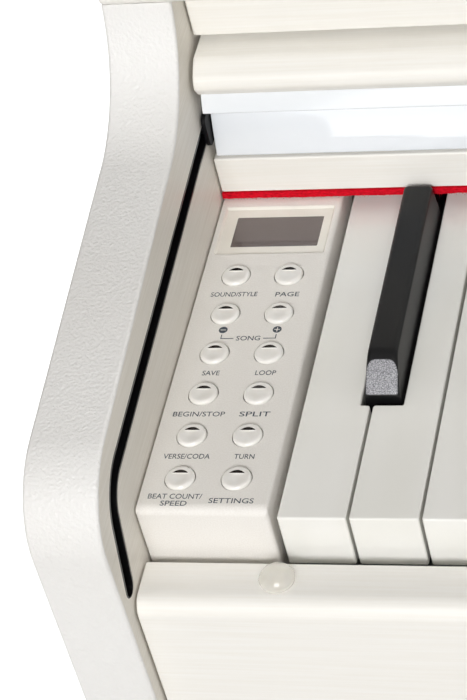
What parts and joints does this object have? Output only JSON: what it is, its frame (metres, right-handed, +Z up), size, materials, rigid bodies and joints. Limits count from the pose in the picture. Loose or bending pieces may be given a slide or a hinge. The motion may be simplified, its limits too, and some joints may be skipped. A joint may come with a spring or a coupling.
{
  "type": "digital piano on stand",
  "caption": "White cabinet digital piano on two side panels, with a sliding key cover, a control block with round buttons, foot pedals and a folding music rest.",
  "frame": {"origin": "on the floor under the middle of the cabinet, halfway between the noses of the arms and the back", "axes": "+X the player's right, along the keyboard, +Y the back, +Z up; the player sits at -Y"},
  "size_m": [1.37, 0.43, 1.0248],
  "materials": {
    "embossed_foil": "fine orange-peel embossed white foil on board",
    "woodgrain_foil": "white painted woodgrain foil on board, satin",
    "gloss_lip": "cool white high-gloss extrusion",
    "black_rail": "black extruded channel, semi-gloss",
    "steel": "zinc-plated sheet",
    "red_felt": "wool felt strip",
    "clear_rubber": "clear soft bumper",
    "moulded_white": "fine-textured warm white moulding",
    "display_glass": "tinted display window",
    "dark_plastic": "black moulding",
    "circuit_board": "green solder mask",
    "button_white": "glossy white cap",
    "brass": "polished brass-plated casting",
    "key_white": "polished white key",
    "key_black": "satin black, fine textured"
  },
  "bodies": {
    "cabinet": {"side_panel_left": "embossed_foil", "side_panel_right": "embossed_foil", "guide_rail_left": "black_rail", "guide_rail_right": "black_rail", "top_board": "woodgrain_foil", "upper_front_panel": "woodgrain_foil", "rear_panel": "embossed_foil", "jack_panel": "dark_plastic", "key_bed": "woodgrain_foil", "key_slip": "woodgrain_foil", "nameboard": "woodgrain_foil", "felt_strip": "red_felt", "kick_board": "woodgrain_foil", "pedal_rail": "woodgrain_foil", "bumper_left": "clear_rubber", "bumper_right": "clear_rubber", "control_block": "moulded_white", "display_window": "display_glass", "lcd_module": "dark_plastic", "control_pcb": "circuit_board", "end_block_right": "moulded_white", "key_frame": "steel", "main_board": "circuit_board", "speaker_left": "dark_plastic", "speaker_right": "dark_plastic", "pedal_box": "moulded_white"},
    "sliding_cover": {"cover_board": "woodgrain_foil", "cover_nose": "woodgrain_foil", "cover_lip": "gloss_lip", "cover_carriage_left": "steel", "cover_carriage_right": "steel"},
    "button_1_left": {"button_1_left": "button_white"},
    "button_1_right": {"button_1_right": "button_white"},
    "button_2_left": {"button_2_left": "button_white"},
    "button_2_right": {"button_2_right": "button_white"},
    "button_3_left": {"button_3_left": "button_white"},
    "button_3_right": {"button_3_right": "button_white"},
    "button_4_left": {"button_4_left": "button_white"},
    "button_4_right": {"button_4_right": "button_white"},
    "button_5_left": {"button_5_left": "button_white"},
    "button_5_right": {"button_5_right": "button_white"},
    "button_6_left": {"button_6_left": "button_white"},
    "button_6_right": {"button_6_right": "button_white"},
    "power_button": {"power_button": "button_white"},
    "volume_knob": {"volume_knob": "button_white"},
    "key_a0": {"key_a0": "key_white"},
    "key_b0": {"key_b0": "key_white"},
    "key_c1": {"key_c1": "key_white"},
    "key_a_sharp0": {"key_a_sharp0": "key_black"},
    "white_keys_low": {"white_keys_low": "key_white"},
    "white_keys_middle": {"white_keys_middle": "key_white"},
    "white_keys_high": {"white_keys_high": "key_white"},
    "black_keys_low": {"black_keys_low": "key_black"},
    "black_keys_middle": {"black_keys_middle": "key_black"},
    "black_keys_high": {"black_keys_high": "key_black"},
    "pedal_soft": {"pedal_soft": "brass"},
    "pedal_sostenuto": {"pedal_sostenuto": "brass"},
    "pedal_sustain": {"pedal_sustain": "brass"},
    "pedal_adjuster": {"pedal_adjuster": "dark_plastic"},
    "music_rest": {"music_rest": "woodgrain_foil"}
  },
  "joints": [
    {"name": "cover_slide", "type": "slide", "parent": "cabinet", "child": "sliding_cover", "axis": [0, -0.9983, -0.0576], "range_m": [0, 0.14]},
    {"name": "music_rest_fold", "type": "hinge", "parent": "cabinet", "child": "music_rest", "pos_m": [0, 0.019, 0.8458], "axis": [-1, 0, 0], "range_deg": [0, 71.5]},
    {"name": "pedal_soft_press", "type": "hinge", "parent": "cabinet", "child": "pedal_soft", "pos_m": [0, 0.0567, 0.072], "axis": [1, 0, 0], "range_deg": [0, 4.4], "stiffness_Nm_per_rad": 20, "springref_deg": -5.73},
    {"name": "pedal_sostenuto_press", "type": "hinge", "parent": "cabinet", "child": "pedal_sostenuto", "pos_m": [0, 0.0567, 0.072], "axis": [1, 0, 0], "range_deg": [0, 4.4], "stiffness_Nm_per_rad": 20, "springref_deg": -5.73},
    {"name": "pedal_sustain_press", "type": "hinge", "parent": "cabinet", "child": "pedal_sustain", "pos_m": [0, 0.0567, 0.072], "axis": [1, 0, 0], "range_deg": [0, 4.4], "stiffness_Nm_per_rad": 20, "springref_deg": -5.73},
    {"name": "adjuster_screw", "type": "slide", "parent": "cabinet", "child": "pedal_adjuster", "axis": [0, 0, 1], "range_m": [0, 0.008]},
    {"name": "volume_turn", "type": "hinge", "parent": "cabinet", "child": "volume_knob", "pos_m": [0.63755, -0.122, 0.738], "axis": [0, 0, 1], "range_deg": [-135, 135]},
    {"name": "key_a0_press", "type": "hinge", "parent": "cabinet", "child": "key_a0", "pos_m": [0, 0.021, 0.715], "axis": [1, 0, 0], "range_deg": [0, 2.8], "stiffness_Nm_per_rad": 1.5, "springref_deg": -5.73},
    {"name": "key_b0_press", "type": "hinge", "parent": "cabinet", "child": "key_b0", "pos_m": [0, 0.021, 0.715], "axis": [1, 0, 0], "range_deg": [0, 2.8], "stiffness_Nm_per_rad": 1.5, "springref_deg": -5.73},
    {"name": "key_c1_press", "type": "hinge", "parent": "cabinet", "child": "key_c1", "pos_m": [0, 0.021, 0.715], "axis": [1, 0, 0], "range_deg": [0, 2.8], "stiffness_Nm_per_rad": 1.5, "springref_deg": -5.73},
    {"name": "key_a_sharp0_press", "type": "hinge", "parent": "cabinet", "child": "key_a_sharp0", "pos_m": [0, 0.021, 0.715], "axis": [1, 0, 0], "range_deg": [0, 3.4], "stiffness_Nm_per_rad": 1.5, "springref_deg": -5.73},
    {"name": "white_keys_low_press", "type": "hinge", "parent": "cabinet", "child": "white_keys_low", "pos_m": [0, 0.021, 0.715], "axis": [1, 0, 0], "range_deg": [0, 2.8], "stiffness_Nm_per_rad": 19.5, "springref_deg": -5.73},
    {"name": "white_keys_middle_press", "type": "hinge", "parent": "cabinet", "child": "white_keys_middle", "pos_m": [0, 0.021, 0.715], "axis": [1, 0, 0], "range_deg": [0, 2.8], "stiffness_Nm_per_rad": 31.5, "springref_deg": -5.73},
    {"name": "white_keys_high_press", "type": "hinge", "parent": "cabinet", "child": "white_keys_high", "pos_m": [0, 0.021, 0.715], "axis": [1, 0, 0], "range_deg": [0, 2.8], "stiffness_Nm_per_rad": 22.5, "springref_deg": -5.73},
    {"name": "black_keys_low_press", "type": "hinge", "parent": "cabinet", "child": "black_keys_low", "pos_m": [0, 0.021, 0.715], "axis": [1, 0, 0], "range_deg": [0, 3.4], "stiffness_Nm_per_rad": 15, "springref_deg": -5.73},
    {"name": "black_keys_middle_press", "type": "hinge", "parent": "cabinet", "child": "black_keys_middle", "pos_m": [0, 0.021, 0.715], "axis": [1, 0, 0], "range_deg": [0, 3.4], "stiffness_Nm_per_rad": 22.5, "springref_deg": -5.73},
    {"name": "black_keys_high_press", "type": "hinge", "parent": "cabinet", "child": "black_keys_high", "pos_m": [0, 0.021, 0.715], "axis": [1, 0, 0], "range_deg": [0, 3.4], "stiffness_Nm_per_rad": 15, "springref_deg": -5.73},
    {"name": "power_button_press", "type": "slide", "parent": "cabinet", "child": "power_button", "axis": [0, 0, -1], "range_m": [0, 0.0008], "stiffness_N_per_m": 800, "springref_m": -0.001},
    {"name": "button_1_left_press", "type": "slide", "parent": "cabinet", "child": "button_1_left", "axis": [0, 0, -1], "range_m": [0, 0.0008], "stiffness_N_per_m": 800, "springref_m": -0.001},
    {"name": "button_1_right_press", "type": "slide", "parent": "cabinet", "child": "button_1_right", "axis": [0, 0, -1], "range_m": [0, 0.0008], "stiffness_N_per_m": 800, "springref_m": -0.001},
    {"name": "button_2_left_press", "type": "slide", "parent": "cabinet", "child": "button_2_left", "axis": [0, 0, -1], "range_m": [0, 0.0008], "stiffness_N_per_m": 800, "springref_m": -0.001},
    {"name": "button_2_right_press", "type": "slide", "parent": "cabinet", "child": "button_2_right", "axis": [0, 0, -1], "range_m": [0, 0.0008], "stiffness_N_per_m": 800, "springref_m": -0.001},
    {"name": "button_3_left_press", "type": "slide", "parent": "cabinet", "child": "button_3_left", "axis": [0, 0, -1], "range_m": [0, 0.0008], "stiffness_N_per_m": 800, "springref_m": -0.001},
    {"name": "button_3_right_press", "type": "slide", "parent": "cabinet", "child": "button_3_right", "axis": [0, 0, -1], "range_m": [0, 0.0008], "stiffness_N_per_m": 800, "springref_m": -0.001},
    {"name": "button_4_left_press", "type": "slide", "parent": "cabinet", "child": "button_4_left", "axis": [0, 0, -1], "range_m": [0, 0.0008], "stiffness_N_per_m": 800, "springref_m": -0.001},
    {"name": "button_4_right_press", "type": "slide", "parent": "cabinet", "child": "button_4_right", "axis": [0, 0, -1], "range_m": [0, 0.0008], "stiffness_N_per_m": 800, "springref_m": -0.001},
    {"name": "button_5_left_press", "type": "slide", "parent": "cabinet", "child": "button_5_left", "axis": [0, 0, -1], "range_m": [0, 0.0008], "stiffness_N_per_m": 800, "springref_m": -0.001},
    {"name": "button_5_right_press", "type": "slide", "parent": "cabinet", "child": "button_5_right", "axis": [0, 0, -1], "range_m": [0, 0.0008], "stiffness_N_per_m": 800, "springref_m": -0.001},
    {"name": "button_6_left_press", "type": "slide", "parent": "cabinet", "child": "button_6_left", "axis": [0, 0, -1], "range_m": [0, 0.0008], "stiffness_N_per_m": 800, "springref_m": -0.001},
    {"name": "button_6_right_press", "type": "slide", "parent": "cabinet", "child": "button_6_right", "axis": [0, 0, -1], "range_m": [0, 0.0008], "stiffness_N_per_m": 800, "springref_m": -0.001}
  ]
}
